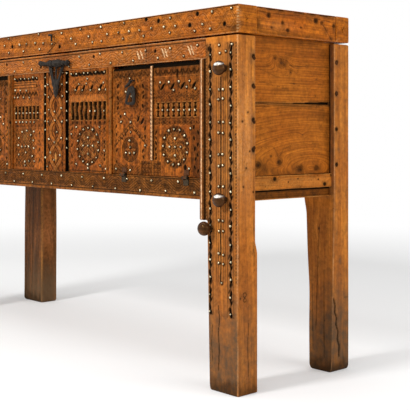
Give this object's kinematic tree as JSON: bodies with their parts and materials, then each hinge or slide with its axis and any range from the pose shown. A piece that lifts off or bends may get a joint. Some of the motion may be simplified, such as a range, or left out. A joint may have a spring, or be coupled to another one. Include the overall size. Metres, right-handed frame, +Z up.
{
  "type": "storage chest",
  "caption": "High-legged wooden dowry chest with a lifting lid, a carved and studded front, a small drop-front door, a hinged hasp and turned knobs.",
  "frame": {"origin": "centre of the chest's box on the floor", "axes": "+X along the chest to its right end as seen from the front, +Y from the carved front to the back, +Z up"},
  "size_m": [1.72, 0.515, 1.05],
  "materials": {
    "pine": "waxed and worn",
    "dark_pine": "waxed, darkened with handling",
    "plain_pine": "bare and dusty",
    "knob_wood": "polished by hand",
    "studs": "tinned, dull",
    "iron": "forged, dark"
  },
  "bodies": {
    "root": {"post_front_right": "pine", "post_front_left": "pine", "post_rear_right": "pine", "post_rear_left": "pine", "front_top_rail": "pine", "front_bottom_rail": "dark_pine", "rear_top_rail": "plain_pine", "rear_bottom_rail": "plain_pine", "end_rail_right": "pine", "end_rail_left": "pine", "end_board_lower_right": "pine", "end_board_upper_right": "pine", "end_board_lower_left": "pine", "end_board_upper_left": "pine", "back_board_lower": "plain_pine", "back_board_upper": "plain_pine", "floor_board_front": "plain_pine", "floor_board_middle": "plain_pine", "floor_board_rear": "plain_pine", "floor_battens": "plain_pine", "middle_muntin": "pine", "stile_right": "pine", "stile_left": "pine", "panel_middle_right": "pine", "panel_middle_left": "pine", "panel_left_inner": "dark_pine", "panel_left_outer": "dark_pine", "rope_bead_left": "pine", "baton_right": "pine", "baton_left": "pine", "knobs_right": "knob_wood", "knobs_left": "knob_wood", "joint_pegs": "knob_wood", "frame_studs": "studs", "post_studs": "studs", "panel_studs": "studs", "door_stop": "plain_pine", "door_hinge_eyes": "iron", "door_hinge_pins": "iron", "hasp_bar": "iron", "lid_hinge_lower_leaves": "iron", "lid_hinge_pins": "iron"},
    "lid": {"lid_front_beam": "pine", "lid_rear_beam": "pine", "lid_end_beams": "pine", "lid_boards": "pine", "lid_battens": "plain_pine", "lid_studs": "studs", "lid_staple": "iron", "lid_hinge_upper_leaves": "iron"},
    "door": {"door_board_inner": "dark_pine", "door_board_outer": "dark_pine", "door_rope_bead": "pine", "door_cleats": "plain_pine", "door_studs": "studs", "door_hinge_straps": "iron", "pull_staple": "iron"},
    "pull": {"drop_pull": "iron"},
    "hasp": {"hasp_tongue": "iron"}
  },
  "joints": [
    {"name": "lid_hinge", "type": "hinge", "parent": "root", "child": "lid", "pos_m": [0, 0.2515, 0.9705], "axis": [-1, 0, 0], "range_deg": [0, 100]},
    {"name": "door_hinge", "type": "hinge", "parent": "root", "child": "door", "pos_m": [0.509, -0.2265, 0.5785], "axis": [1, 0, 0], "range_deg": [0, 170]},
    {"name": "pull_swing", "type": "hinge", "parent": "door", "child": "pull", "pos_m": [0.40544, -0.2305, 0.862], "axis": [-1, 0, 0], "range_deg": [0, 120]},
    {"name": "hasp_swing", "type": "hinge", "parent": "root", "child": "hasp", "pos_m": [0.004, -0.2355, 0.935], "axis": [-1, 0, 0], "range_deg": [0, 165]}
  ]
}
